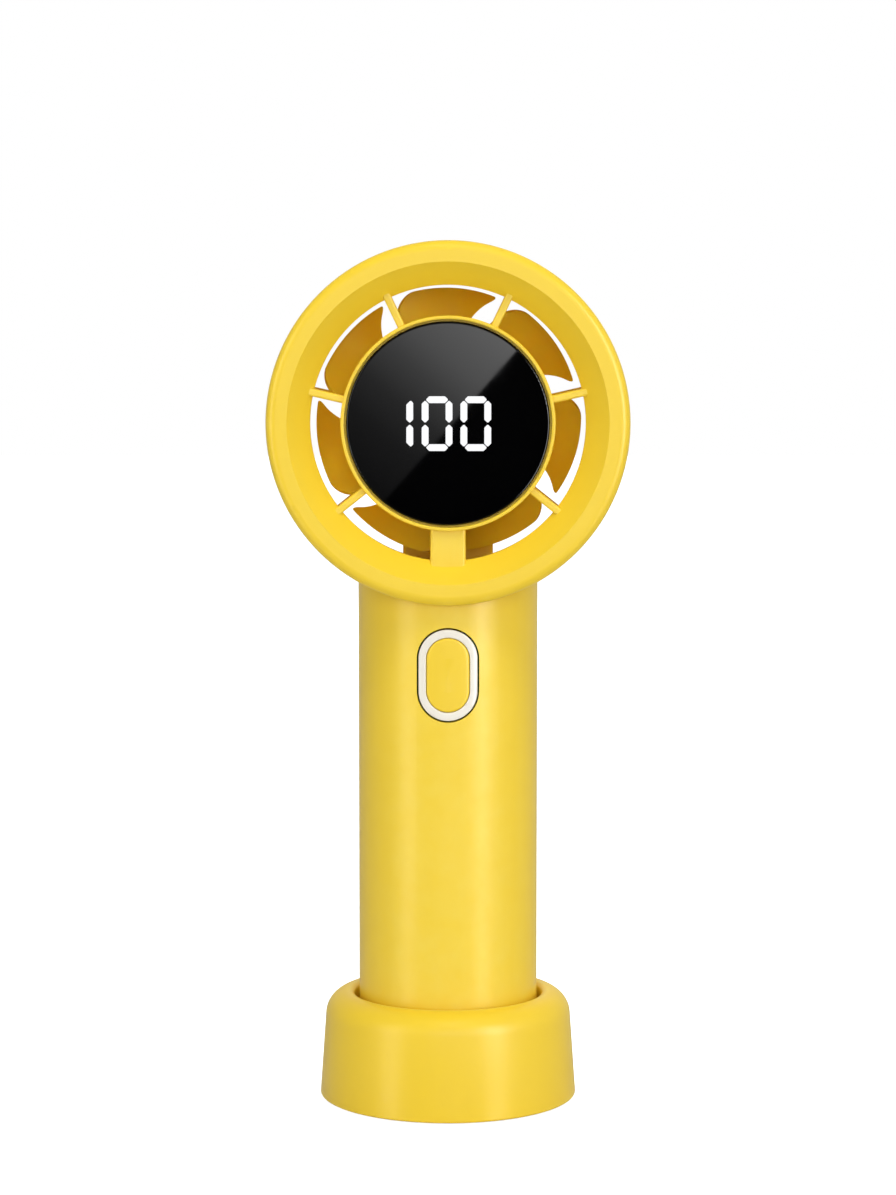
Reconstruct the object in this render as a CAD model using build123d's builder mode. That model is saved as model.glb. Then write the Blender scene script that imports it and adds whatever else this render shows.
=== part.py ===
from build123d import *
import math
import os

# Handheld electric fan with a round display in its hub, standing in a cup-shaped base.
#
# Frame: +Z up, the display faces -Y, the origin is the centre of the base's underside. Millimetres.
# Heights are measured along Z. Inside the head, "forward" is the distance in front of the handle's
# axis, along -Y, and radii are measured from the fan axis.
os.makedirs("parts", exist_ok=True)

# ---------------------------------------------------------------- driving dimensions
head_radius = 40.0  # front ring
hub_height = 154.5  # fan axis above the floor
handle_radius = 20.35
wall = 1.9  # housing wall
base_height = 24.2
base_foot_radius = 29.3
base_shoulder_radius = 28.0
socket_radius = 21.4
spoke_count = 7  # six thin spokes and one wide strut
blade_count = 7
cut = 1.0  # how far a cutting tool runs past the face it cuts

# Head, radii and forward distances
lip_forward = 24.0
ring_back = 16.0  # parting line between the front ring and the housing
drum_radius = 39.3
drum_back = -12.0  # parting line between the housing and the rear grille
rear_lip = -18.0
throat_radius = 30.4
throat_forward = 18.3
spigot_inner, spigot_outer = 35.7, 37.3
duct_split = 1.9  # where the front and rear duct walls meet
hub_radius = 23.65
cover_seat_radius = 22.85
cover_radius = 22.4
cover_back, cover_front = 18.8, 20.3
hub_front = 20.8
bulkhead_back, bulkhead_front = 9.5, 11.0
strut_width = 7.85
rear_strut_width = 20.8
rear_hub_radius = 21.4

# Handle
handle_bottom = 6.5
cap_top = 10.0
button_height = 98.9
port_height = 30.0
seam_half_width = 0.15
seam_depth = 0.35

low = (Align.CENTER, Align.CENTER, Align.MIN)


# ---------------------------------------------------------------- planes and outlines
def across(forward, turn=0.0):
    """Plane square to the fan axis, its Z towards the front and its X turned up from the right."""
    spoke = (math.cos(math.radians(turn)), 0, math.sin(math.radians(turn)))
    return Plane(origin=(0, -forward, hub_height), x_dir=spoke, z_dir=(0, -1, 0))


def facing(height, forward=0.0):
    """Plane that faces the front, centred on the handle's axis at a height."""
    return Plane(origin=(0, -forward, height), x_dir=(1, 0, 0), z_dir=(0, -1, 0))


fan_axis = Axis((0, 0, hub_height), (0, -1, 0))
lathe_plane = Plane(origin=(0, 0, hub_height), x_dir=(1, 0, 0), z_dir=(0, 0, -1))


def lathe_outline(*points):
    """Closed outline of (radius, forward) points, to be turned about the fan axis."""
    with BuildSketch(lathe_plane) as outline:
        with BuildLine():
            Polyline(*points, close=True)
        make_face()
    return outline.sketch


# ================================================================ base
# The shell is one moulding: a sloping outer wall, a rounded shoulder and a socket for the handle.
shoulder_round, mouth_round = 5.0, 1.4
socket_wall, socket_floor = 1.6, 5.0
shell_foot, shell_wall = 0.25, 2.0
boss_circle, boss_radius = 24.8, 2.0
plate_bottom, plate_top = 1.0, 2.4
plate_radius = 27.0

with BuildPart() as base_shell:
    with BuildSketch(Plane.XZ):
        with BuildLine():
            foot_edge = (base_foot_radius, shell_foot + 0.8)
            shoulder = (base_shoulder_radius, base_height - shoulder_round)
            crest = (base_shoulder_radius - shoulder_round, base_height)
            mouth = (socket_radius, base_height - mouth_round)
            Polyline((socket_radius, socket_floor), (0, socket_floor), (0, shell_foot + 3.0))
            Line((0, shell_foot + 3.0), (socket_radius + socket_wall, shell_foot + 3.0))
            Polyline(
                (socket_radius + socket_wall, shell_foot + 3.0),
                (socket_radius + socket_wall, base_height - 4.6),
                (base_shoulder_radius - shell_wall - 0.6, base_height - 6.0),
                (base_foot_radius - shell_wall, plate_top + 0.1),
                (base_foot_radius - shell_wall, shell_foot),
                (base_foot_radius - 0.8, shell_foot),
                foot_edge,
                shoulder,
            )
            RadiusArc(shoulder, crest, -shoulder_round)
            Line(crest, (socket_radius + mouth_round, base_height))
            RadiusArc((socket_radius + mouth_round, base_height), mouth, -mouth_round)
            Line(mouth, (socket_radius, socket_floor))
        make_face()
    revolve(axis=Axis.Z)
    # three screw bosses hang from the shoulder between the two walls
    with BuildSketch(Plane.XY.offset(plate_top + 0.1)):
        with PolarLocations(boss_circle, 3, start_angle=30):
            Circle(boss_radius)
    extrude(amount=base_height - 6.5 - plate_top)
    with BuildSketch(Plane.XY.offset(plate_top + 0.1)):
        with PolarLocations(boss_circle, 3, start_angle=30):
            Circle(1.0)
    extrude(amount=8.0, mode=Mode.SUBTRACT)
base_shell.part.label = "base_shell"
export_step(base_shell.part, "parts/base_shell.step")

# Three steel arcs in the ring-shaped cavity keep the tall fan from tipping.
with BuildPart() as base_weights:
    with BuildSketch(Plane.XY.offset(plate_top + 0.2)):
        Circle(boss_circle + 0.7)
        Circle(socket_radius + socket_wall + 0.2, mode=Mode.SUBTRACT)
        with PolarLocations(boss_circle, 3, start_angle=30):
            Circle(boss_radius + 0.6, mode=Mode.SUBTRACT)
    extrude(amount=11.5)
base_weights.part.label = "base_weights"
export_step(base_weights.part, "parts/base_weights.step")

with BuildPart(Plane.XY.offset(plate_bottom)) as base_plate:
    Cylinder(plate_radius, plate_top - plate_bottom, align=low)
    with PolarLocations(boss_circle, 3, start_angle=30):
        Hole(1.15)
base_plate.part.label = "base_plate"
export_step(base_plate.part, "parts/base_plate.step")

with BuildPart(Plane.XY.offset(plate_bottom)) as base_screws:
    with PolarLocations(boss_circle, 3, start_angle=30):
        Cylinder(0.97, 7.5, align=low)
        Cylinder(1.9, 0.9, align=(Align.CENTER, Align.CENTER, Align.MAX))
base_screws.part.label = "base_screws"
export_step(base_screws.part, "parts/base_screws.step")

# The foot ring is what the base stands on; its notches clear the screw heads.
with BuildPart() as foot_ring:
    Cylinder(26.4, plate_bottom, align=low)
    Cylinder(19.0, plate_bottom, align=low, mode=Mode.SUBTRACT)
    with PolarLocations(boss_circle, 3, start_angle=30):
        Cylinder(2.1, plate_bottom, align=low, mode=Mode.SUBTRACT)
    fillet(foot_ring.edges().filter_by(GeomType.CIRCLE).group_by(SortBy.LENGTH)[-1], 0.15)
foot_ring.part.label = "foot_ring"
export_step(foot_ring.part, "parts/foot_ring.step")

with BuildPart(Plane.XY.offset(socket_floor)) as socket_pad:
    Cylinder(20.9, handle_bottom - socket_floor, align=low)
socket_pad.part.label = "socket_pad"
export_step(socket_pad.part, "parts/socket_pad.step")

# ================================================================ housing halves
# Handle tube and head drum are one hollow form, split front from rear on the handle's axis.
handle_boss_radius = 2.6
# each screw: x, height, how far its head's seat and its bosses reach from the seam
handle_screw_places = ((0.0, 16.0, 15.6, 18.9), (-12.5, 110.5, 12.4, 13.4), (12.5, 110.5, 12.4, 13.4))
post_places = ((-8.8, 64.0), (8.8, 64.0), (-8.8, 104.0), (8.8, 104.0))
board_front, board_thickness = 12.6, 1.2
tube_top = hub_height - 25.0

with BuildPart() as seam_tool:
    with BuildSketch(Plane.XZ.offset(-seam_half_width)):
        with Locations((0, hub_height / 2 + 20)):
            Rectangle(2 * head_radius + 10, hub_height + 80)
    extrude(amount=2 * seam_half_width)
    with BuildSketch(Plane.XY):
        Circle(handle_radius - seam_depth)
    extrude(amount=tube_top, mode=Mode.SUBTRACT)
    with BuildSketch(across(drum_back)):
        Circle(drum_radius - seam_depth)
    extrude(amount=ring_back - drum_back, mode=Mode.SUBTRACT)

with BuildPart() as hollow_housing:
    with BuildSketch(Plane.XY.offset(cap_top)):
        Circle(handle_radius)
    extrude(amount=tube_top - cap_top)
    with BuildSketch(across(drum_back)):
        Circle(drum_radius)
    extrude(amount=ring_back - drum_back)
    with BuildSketch(Plane.XY.offset(cap_top)):
        Circle(handle_radius - wall)
    extrude(amount=tube_top - cap_top, mode=Mode.SUBTRACT)
    with BuildSketch(across(drum_back)):
        Circle(drum_radius - wall)
    extrude(amount=ring_back - drum_back, mode=Mode.SUBTRACT)
    # solid top behind the drum, where the round handle stands out further than the drum does
    with BuildSketch(Plane.XY.offset(tube_top - 19.0)):
        Circle(handle_radius - 0.5)
        with Locations((0, -drum_back - handle_radius)):
            Rectangle(2 * handle_radius, 2 * handle_radius, mode=Mode.SUBTRACT)
    extrude(amount=10.0)
    # room for the front ring and for the rear grille
    with BuildSketch(across(ring_back)):
        Circle(head_radius + 0.1)
    extrude(amount=2 * ring_back, mode=Mode.SUBTRACT)
    with BuildSketch(across(drum_back)):
        Circle(drum_radius + 0.1)
    extrude(amount=2 * drum_back, mode=Mode.SUBTRACT)
    add(seam_tool.part, mode=Mode.SUBTRACT)

bezel_hole_width, bezel_hole_tall = 13.84, 21.1
bezel_width, bezel_tall = 13.26, 20.5
cap_width, cap_tall = 9.56, 16.46
button_gap = 0.1

with BuildPart() as front_housing:
    add(hollow_housing.part)
    split(bisect_by=Plane.XZ, keep=Keep.TOP)
    with BuildSketch(facing(button_height)):
        SlotOverall(bezel_hole_tall, bezel_hole_width, rotation=90)
    extrude(amount=handle_radius + cut, mode=Mode.SUBTRACT)
    for x, height, seat, reach in handle_screw_places:
        with BuildSketch(facing(height, 0.1)):
            with Locations((x, 0)):
                Circle(handle_boss_radius)
        extrude(amount=reach - 0.1)
        with BuildSketch(facing(height, 0.1)):
            with Locations((x, 0)):
                Circle(1.0)
        extrude(amount=reach - 5.0, mode=Mode.SUBTRACT)
    for x, z in post_places:
        with BuildSketch(facing(0, board_front)):
            with Locations((x, z)):
                Circle(1.7)
        extrude(amount=4.6)
        with BuildSketch(facing(0, board_front)):
            with Locations((x, z)):
                Circle(0.8)
        extrude(amount=3.0, mode=Mode.SUBTRACT)
front_housing.part.label = "front_housing"
export_step(front_housing.part, "parts/front_housing.step")

with BuildPart() as rear_housing:
    add(hollow_housing.part)
    split(bisect_by=Plane.XZ, keep=Keep.BOTTOM)
    for x, height, seat, reach in handle_screw_places:
        with BuildSketch(facing(height, -0.1)):
            with Locations((x, 0)):
                Circle(handle_boss_radius)
        extrude(amount=0.1 - reach)
        with BuildSketch(facing(height, -0.1)):
            with Locations((x, 0)):
                Circle(1.2)
        extrude(amount=-handle_radius, mode=Mode.SUBTRACT)
        with BuildSketch(facing(height, -seat)):
            with Locations((x, 0)):
                Circle(2.1)
        extrude(amount=-handle_radius, mode=Mode.SUBTRACT)
    with BuildSketch(facing(port_height, -14.0)):
        SlotOverall(9.5, 3.8)
    extrude(amount=-handle_radius, mode=Mode.SUBTRACT)
rear_housing.part.label = "rear_housing"
export_step(rear_housing.part, "parts/rear_housing.step")

# Long screws pull the two halves together from the rear.
with BuildPart() as handle_screws:
    for x, height, seat, reach in handle_screw_places:
        with BuildSketch(facing(height, -seat)):
            with Locations((x, 0)):
                Circle(1.95)
        extrude(amount=-1.3)
        with BuildSketch(facing(height, -seat)):
            with Locations((x, 0)):
                Circle(0.97)
        extrude(amount=seat + reach - 6.0)
handle_screws.part.label = "handle_screws"
export_step(handle_screws.part, "parts/handle_screws.step")

with BuildPart(Plane.XY.offset(handle_bottom)) as end_cap:
    Cylinder(handle_radius, cap_top - handle_bottom, align=low)
    fillet(end_cap.faces().sort_by(Axis.Z)[0].edges(), 1.4)
    with Locations((0, 0, cap_top - handle_bottom)):
        Cylinder(handle_radius - wall - 0.1, 2.6, align=low)
        Cylinder(handle_radius - wall - 1.7, 2.6, align=low, mode=Mode.SUBTRACT)
end_cap.part.label = "end_cap"
export_step(end_cap.part, "parts/end_cap.step")

# ================================================================ front ring
# The ring has the lip, funnel, throat and duct wall. Cup and spokes are welded into it.
clamp_angles = (45, 135, 225, 315)
clamp_circle, clamp_boss_radius = 34.9, 2.2
spoke_width = 1.7
spoke_back, spoke_front = 14.6, 19.4
strut_front = 19.7
funnel_reach = 31.6  # radius at which the spokes and the strut run into the funnel
funnel_lip_radius = 35.3


def along_spoke(radius, angle):
    """Plane square to a spoke at a radius: X across the spoke, Y towards the front, Z outwards."""
    out = (math.cos(math.radians(angle)), 0, math.sin(math.radians(angle)))
    side = (-out[2], 0, out[0])
    place = (radius * out[0], 0, hub_height + radius * out[2])
    return Plane(origin=place, x_dir=side, z_dir=out)


# Way for the wires: through the hub wall, along the back of the strut, through the duct wall.
wire_way_width = strut_width - 2.4
with BuildPart() as wire_way:
    with BuildSketch(across(bulkhead_front + 0.4)):
        with Locations((0, -27.8)):
            Rectangle(wire_way_width, 15.0)
    extrude(amount=6.2)
    with BuildSketch(across(ring_back - 4.0 - cut)):
        with Locations((0, -35.9)):
            Rectangle(strut_width + 1.0, 6.0)
    extrude(amount=4.0 + cut)
    with BuildSketch(across(bulkhead_back - cut)):
        with Locations((0, -27.4)):
            Rectangle(wire_way_width, 6.6)
    extrude(amount=3.5)

with BuildPart() as front_ring:
    with BuildSketch(lathe_plane):
        with BuildLine():
            Polyline(
                (head_radius, ring_back),
                (head_radius, lip_forward),
                (funnel_lip_radius, lip_forward),
                (throat_radius, throat_forward),
                (throat_radius, throat_forward - 1.5),
                (throat_radius + 0.8, throat_forward - 5.0),
                (throat_radius + 1.0, duct_split + 0.05),
                (throat_radius + 2.4, duct_split + 0.05),
                (throat_radius + 2.4, ring_back - 1.0),
                (spigot_inner, lip_forward - 5.0),
                (spigot_inner, ring_back - 4.0),
                (spigot_outer, ring_back - 4.0),
                (spigot_outer, ring_back),
                close=True,
            )
        outline = make_face()
        lip_edge, ring_edge = outline.vertices().group_by(Axis.Y)[-1].sort_by(Axis.X)
        corners = outline.vertices()
        throat_edge = corners.filter_by_position(Axis.Y, throat_forward - 0.1, throat_forward + 0.1)
        fillet(ring_edge, 2.2)
        fillet(lip_edge, 0.8)
        fillet(throat_edge, 0.6)
    revolve(axis=fan_axis)
    # bosses for the long screws that clamp the head
    for angle in clamp_angles:
        with BuildSketch(across(duct_split + 0.05, angle)):
            with Locations((clamp_circle, 0)):
                Circle(clamp_boss_radius)
        extrude(amount=18.0)
        with BuildSketch(across(duct_split + 0.05, angle)):
            with Locations((clamp_circle, 0)):
                Circle(1.0)
        extrude(amount=12.5, mode=Mode.SUBTRACT)
    add(wire_way.part, mode=Mode.SUBTRACT)
front_ring.part.label = "front_ring"
export_step(front_ring.part, "parts/front_ring.step")

# Cup that holds the display and carries the motor on its bulkhead.
post_circle = 18.0
with BuildPart() as hub_cup:
    revolve(
        lathe_outline(
            (0, bulkhead_back),
            (hub_radius, bulkhead_back),
            (hub_radius, hub_front),
            (cover_seat_radius, hub_front),
            (cover_seat_radius, cover_back),
            (cover_seat_radius - 0.85, cover_back),
            (cover_seat_radius - 0.85, bulkhead_front),
            (0, bulkhead_front),
        ),
        axis=fan_axis,
    )
    fillet(hub_cup.edges().filter_by_position(Axis.Y, -hub_front - 0.01, -hub_front + 0.01), 0.25)
    add(wire_way.part, mode=Mode.SUBTRACT)
    # bulkhead: shaft clearance, bracket screws, motor lead hole, display posts
    with BuildSketch(across(bulkhead_back - cut)):
        Circle(4.0)
        with PolarLocations(8.0, 3, start_angle=90):
            Circle(1.1)
        with Locations((0, -12.6)):
            SlotOverall(6.0, 2.4)
    extrude(amount=4.0, mode=Mode.SUBTRACT)
    with BuildSketch(across(bulkhead_front)):
        with PolarLocations(post_circle, 3, start_angle=90):
            Circle(2.2)
    extrude(amount=2.6)
    with BuildSketch(across(bulkhead_front)):
        with PolarLocations(post_circle, 3, start_angle=90):
            Circle(0.8)
    extrude(amount=2.6, mode=Mode.SUBTRACT)
hub_cup.part.label = "hub_cup"
export_step(hub_cup.part, "parts/hub_cup.step")

# Six thin spokes bridge the gap from cup to funnel. The seventh place, straight down, is the wide
# hollow strut that the wires run through.
with BuildPart() as front_spokes:
    for place in range(1, spoke_count):
        angle = -90 + place * 360 / spoke_count
        with BuildSketch(along_spoke(hub_radius - 0.4, angle)):
            with Locations((0, (spoke_back + spoke_front) / 2)):
                RectangleRounded(spoke_width, spoke_front - spoke_back, 0.5)
        extrude(amount=funnel_reach - hub_radius + 0.4)
    with BuildSketch(along_spoke(hub_radius - 0.4, -90)):
        with Locations((0, (bulkhead_back + strut_front) / 2)):
            section = Rectangle(strut_width, strut_front - bulkhead_back)
        fillet(section.vertices().group_by(Axis.Y)[-1], 0.7)
    extrude(amount=funnel_reach - hub_radius + 0.4)
    with BuildSketch(across(bulkhead_back)):
        Circle(hub_radius)
    extrude(amount=hub_front - bulkhead_back, mode=Mode.SUBTRACT)
    add(front_ring.part, mode=Mode.SUBTRACT)
    add(wire_way.part, mode=Mode.SUBTRACT)
front_spokes.part.label = "front_spokes"
export_step(front_spokes.part, "parts/front_spokes.step")

# Snap-in strip that closes the back of the strut over the wires.
with BuildPart() as strut_cover:
    with BuildSketch(across(bulkhead_back)):
        with Locations((0, -27.4)):
            Rectangle(wire_way_width, 6.6)
    extrude(amount=1.2)
strut_cover.part.label = "strut_cover"
export_step(strut_cover.part, "parts/strut_cover.step")

# ================================================================ rear grille
with BuildPart() as rear_grille:
    with BuildSketch(lathe_plane):
        with BuildLine():
            Polyline(
                (drum_radius, drum_back),
                (drum_radius, rear_lip),
                (36.2, rear_lip),
                (32.9, rear_lip + 4.2),
                (32.6, rear_lip + 5.4),
                (throat_radius + 1.4, duct_split - 0.05),
                (throat_radius + 2.7, duct_split - 0.05),
                (34.0, drum_back + 1.0),
                (spigot_inner, drum_back - 2.0),
                (spigot_inner, drum_back + 2.5),
                (spigot_outer, drum_back + 2.5),
                (spigot_outer, drum_back),
                close=True,
            )
        outline = make_face()
        fillet(outline.vertices().group_by(Axis.Y)[0].sort_by(Axis.X)[-1], 2.0)
    revolve(axis=fan_axis)
    for angle in clamp_angles:
        with BuildSketch(across(duct_split - 0.05, angle)):
            with Locations((clamp_circle, 0)):
                Circle(clamp_boss_radius)
        extrude(amount=-14.6)
        with BuildSketch(across(duct_split - 0.05, angle)):
            with Locations((clamp_circle, 0)):
                Circle(1.2)
        extrude(amount=-22.0, mode=Mode.SUBTRACT)
        with BuildSketch(across(-14.6, angle)):
            with Locations((clamp_circle, 0)):
                Circle(2.0)
        extrude(amount=-6.0, mode=Mode.SUBTRACT)
rear_grille.part.label = "rear_grille"
export_step(rear_grille.part, "parts/rear_grille.step")

# Disc that hides the motor from behind.
with BuildPart() as rear_hub:
    revolve(
        lathe_outline(
            (0, -10.6),
            (rear_hub_radius - 1.0, -10.6),
            (rear_hub_radius, -11.4),
            (rear_hub_radius, -13.0),
            (rear_hub_radius - 1.4, -14.4),
            (rear_hub_radius - 6.0, -15.0),
            (0, -15.0),
        ),
        axis=fan_axis,
    )
rear_hub.part.label = "rear_hub"
export_step(rear_hub.part, "parts/rear_hub.step")

# Six thin spokes and one wide one, straight down, join the disc to the grille's ring.
with BuildPart() as rear_spokes:
    for place in range(1, spoke_count):
        angle = -90 + place * 360 / spoke_count
        with BuildSketch(along_spoke(rear_hub_radius - 0.9, angle)):
            with Locations((0, -12.5)):
                RectangleRounded(1.2, 3.4, 0.4)
        extrude(amount=13.0)
    with BuildSketch(along_spoke(rear_hub_radius - 6.0, -90)):
        with Locations((0, -12.6)):
            RectangleRounded(rear_strut_width, 3.6, 0.8)
    extrude(amount=18.0)
    # the wide spoke's corners stop inside the grille's wall
    with BuildSketch(across(-16.0)):
        Circle(throat_radius + 2.8)
    extrude(amount=8.0, mode=Mode.INTERSECT)
    add(rear_hub.part, mode=Mode.SUBTRACT)
    add(rear_grille.part, mode=Mode.SUBTRACT)
rear_spokes.part.label = "rear_spokes"
export_step(rear_spokes.part, "parts/rear_spokes.step")

with BuildPart() as head_screws:
    for angle in clamp_angles:
        with BuildSketch(across(-14.6, angle)):
            with Locations((clamp_circle, 0)):
                Circle(1.85)
        extrude(amount=-1.3)
        with BuildSketch(across(-14.6, angle)):
            with Locations((clamp_circle, 0)):
                Circle(0.97)
        extrude(amount=28.0)
head_screws.part.label = "head_screws"
export_step(head_screws.part, "parts/head_screws.step")

# ================================================================ display
# Three-digit module: the hundreds digit has only its two right-hand segments.
stroke = 1.5
cell = 5.25  # between segment centre lines, across and up
segment = cell - 0.3  # tip to tip
segment_round = 0.28
zero_centres = (-2.4, 6.1)
one_centre = -8.4


def segment_shape(length, slant=0.0):
    """Pointed bar along X; slant moves its right-hand tip towards the bar's upper edge."""
    half, point = length / 2, stroke / 2
    with BuildSketch() as shape:
        with BuildLine():
            Polyline(
                (-half, 0),
                (-half + point, point),
                (half - point + slant, point),
                (half, slant),
                (half - point - slant, -point),
                (-half + point, -point),
                close=True,
            )
        make_face()
        fillet(shape.vertices(), segment_round)
    return shape.sketch


def lit_segments(forward):
    """Outlines of the lit segments, which read 100."""
    with BuildSketch(across(forward)) as digits:
        for centre in zero_centres:
            with Locations((centre, cell), (centre, -cell)):
                add(segment_shape(segment))
            with Locations(*[(centre + x, y) for x in (-cell / 2, cell / 2) for y in (-cell / 2, cell / 2)]):
                add(segment_shape(segment), rotation=90)
        with Locations((one_centre, cell / 2)):
            add(segment_shape(segment, slant=-0.2), rotation=90)
        with Locations((one_centre, -cell / 2)):
            add(mirror(segment_shape(segment, slant=-0.2), about=Plane.YZ, mode=Mode.PRIVATE), rotation=90)
    return digits.sketch


with BuildPart(across(cover_back)) as display_cover:
    Cylinder(cover_radius, cover_front - cover_back, align=low)
    fillet(display_cover.faces().sort_by(Axis.Y)[0].edges(), 0.5)
    extrude(lit_segments(cover_back - cut), amount=2 * cut + 2, mode=Mode.SUBTRACT)
display_cover.part.label = "display_cover"
export_step(display_cover.part, "parts/display_cover.step")

with BuildPart() as display_segments:
    extrude(lit_segments(cover_back), amount=cover_front - cover_back - 0.02)
display_segments.part.label = "display_segments"
export_step(display_segments.part, "parts/display_segments.step")

led_board_front, led_board_back = 14.8, 13.6
module_width, module_tall = 26.0, 16.0

with BuildPart() as display_reflector:
    with BuildSketch(across(led_board_front)):
        Rectangle(module_width, module_tall)
    extrude(amount=cover_back - led_board_front)
    extrude(lit_segments(led_board_front - cut), amount=8.0, mode=Mode.SUBTRACT)
display_reflector.part.label = "display_reflector"
export_step(display_reflector.part, "parts/display_reflector.step")

with BuildPart(across(led_board_back)) as display_board:
    Cylinder(21.8, led_board_front - led_board_back, align=low)
    with PolarLocations(18.0, 3, start_angle=90):
        Hole(0.9)
    with Locations((0, -21.0, 0)):
        Box(7.0, 3.0, 4.0, mode=Mode.SUBTRACT)
display_board.part.label = "display_board"
export_step(display_board.part, "parts/display_board.step")

with BuildPart(across(led_board_front)) as display_leds:
    for centre in zero_centres:
        with Locations((centre, cell, 0), (centre, -cell, 0)):
            Box(1.6, 0.8, 0.6, align=low)
        with Locations(*[(centre + x, y, 0) for x in (-cell / 2, cell / 2) for y in (-cell / 2, cell / 2)]):
            Box(0.8, 1.6, 0.6, align=low)
    with Locations((one_centre, cell / 2, 0), (one_centre, -cell / 2, 0)):
        Box(0.8, 1.6, 0.6, align=low)
display_leds.part.label = "display_leds"
export_step(display_leds.part, "parts/display_leds.step")

with BuildPart(across(led_board_front)) as display_screws:
    with PolarLocations(18.0, 3, start_angle=90):
        Cylinder(1.5, 0.9, align=low)
        Cylinder(0.77, 3.4, align=(Align.CENTER, Align.CENTER, Align.MAX))
display_screws.part.label = "display_screws"
export_step(display_screws.part, "parts/display_screws.step")

# Flat cable from the display, through the strut and down the drum to the main board.
strut_way = 15.6  # forward distance of the flat cable in the strut
with BuildPart() as display_cable:
    with BuildSketch(Plane.YZ.offset(-2.2)):
        with BuildLine():
            FilletPolyline(
                (-led_board_back, hub_height - 18.6),
                (-12.6, hub_height - 18.6),
                (-12.6, hub_height - 21.0),
                (-strut_way, hub_height - 24.5),
                (-strut_way, hub_height - 33.0),
                (-14.2, hub_height - 36.5),
                (-10.6, 112.0),
                (-10.6, 105.6),
                (-11.4, 105.6),
                radius=0.25,
            )
        trace(line_width=0.3)
    extrude(amount=4.4)
display_cable.part.label = "display_cable"
export_step(display_cable.part, "parts/display_cable.step")

# ================================================================ motor
shaft_radius = 1.46
bearing_radius, bearing_bore, bearing_width = 3.5, 1.5, 3.0
bearing_backs = (-4.0, 6.3)
tube_radius = 5.0
stator_low, stator_high = -1.2, 4.8
stator_radius = 11.0
teeth = 9
magnet_count = 12
magnet_inner, magnet_outer = 11.5, 12.95
bell_radius = 13.9
bell_back, bell_front = -7.5, 5.4
lead_radius = 0.45

with BuildPart() as motor_bracket:
    revolve(
        lathe_outline(
            (bearing_radius, bulkhead_back),
            (10.5, bulkhead_back),
            (10.5, bulkhead_back - 1.5),
            (tube_radius, bulkhead_back - 1.5),
            (tube_radius, -4.0),
            (bearing_radius, -4.0),
            (bearing_radius, -1.0),
            (3.0, -1.0),
            (3.0, 6.3),
            (bearing_radius, 6.3),
        ),
        axis=fan_axis,
    )
    with BuildSketch(across(bulkhead_back - 2.0)):
        with PolarLocations(8.0, 3, start_angle=90):
            Circle(1.0)
    extrude(amount=3.0, mode=Mode.SUBTRACT)
motor_bracket.part.label = "motor_bracket"
export_step(motor_bracket.part, "parts/motor_bracket.step")

with BuildPart(across(bulkhead_front)) as motor_screws:
    with PolarLocations(8.0, 3, start_angle=90):
        Cylinder(1.8, 0.9, align=low)
        Cylinder(0.97, 2.8, align=(Align.CENTER, Align.CENTER, Align.MAX))
motor_screws.part.label = "motor_screws"
export_step(motor_screws.part, "parts/motor_screws.step")

# Two small sealed ball bearings, one at each end of the bracket's tube.
with BuildPart() as motor_bearings:
    for back in bearing_backs:
        with BuildSketch(across(back)):
            Circle(bearing_radius)
            Circle(bearing_bore, mode=Mode.SUBTRACT)
        extrude(amount=bearing_width)
        for shield in (back, back + bearing_width - 0.2):
            with BuildSketch(across(shield)):
                Circle(2.9)
                Circle(2.1, mode=Mode.SUBTRACT)
            extrude(amount=0.2, mode=Mode.SUBTRACT)
motor_bearings.part.label = "motor_bearings"
export_step(motor_bearings.part, "parts/motor_bearings.step")

with BuildPart() as stator_core:
    with BuildSketch(across(stator_low)):
        Circle(stator_radius)
        Circle(stator_radius - 1.1, mode=Mode.SUBTRACT)
        with PolarLocations(stator_radius - 0.5, teeth, start_angle=180 / teeth):
            Rectangle(3.0, 1.4, mode=Mode.SUBTRACT)
        with PolarLocations(8.2, teeth):
            Rectangle(4.2, 1.8)
        Circle(6.6)
        Circle(tube_radius, mode=Mode.SUBTRACT)
    extrude(amount=stator_high - stator_low)
stator_core.part.label = "stator_core"
export_step(stator_core.part, "parts/stator_core.step")

with BuildPart(across((stator_low + stator_high) / 2)) as stator_windings:
    with PolarLocations(8.45, teeth):
        Box(2.4, 3.9, 8.2)
        Box(2.6, 1.8, 6.0, mode=Mode.SUBTRACT)
stator_windings.part.label = "stator_windings"
export_step(stator_windings.part, "parts/stator_windings.step")

with BuildPart() as rotor_magnets:
    with BuildSketch(across(-2.2)):
        Circle(magnet_outer)
        Circle(magnet_inner, mode=Mode.SUBTRACT)
        with PolarLocations((magnet_inner + magnet_outer) / 2, magnet_count):
            Rectangle(3.0, 0.6, mode=Mode.SUBTRACT)
    extrude(amount=7.4)
rotor_magnets.part.label = "rotor_magnets"
export_step(rotor_magnets.part, "parts/rotor_magnets.step")

with BuildPart() as rotor_bell:
    revolve(
        lathe_outline(
            (shaft_radius, bell_back),
            (bell_radius, bell_back),
            (bell_radius, bell_front),
            (magnet_outer, bell_front),
            (magnet_outer, bell_back + 1.2),
            (3.2, bell_back + 1.2),
            (3.2, -4.6),
            (shaft_radius, -4.6),
        ),
        axis=fan_axis,
    )
    with BuildSketch(across(bell_back - cut)):
        with PolarLocations(8.2, 6):
            Circle(1.9)
    extrude(amount=2 * cut + 1.2, mode=Mode.SUBTRACT)
rotor_bell.part.label = "rotor_bell"
export_step(rotor_bell.part, "parts/rotor_bell.step")

with BuildPart(across(bell_back)) as motor_shaft:
    Cylinder(shaft_radius, 18.0, align=low)
    chamfer(motor_shaft.edges().filter_by(GeomType.CIRCLE), 0.2)
motor_shaft.part.label = "motor_shaft"
export_step(motor_shaft.part, "parts/motor_shaft.step")

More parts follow.
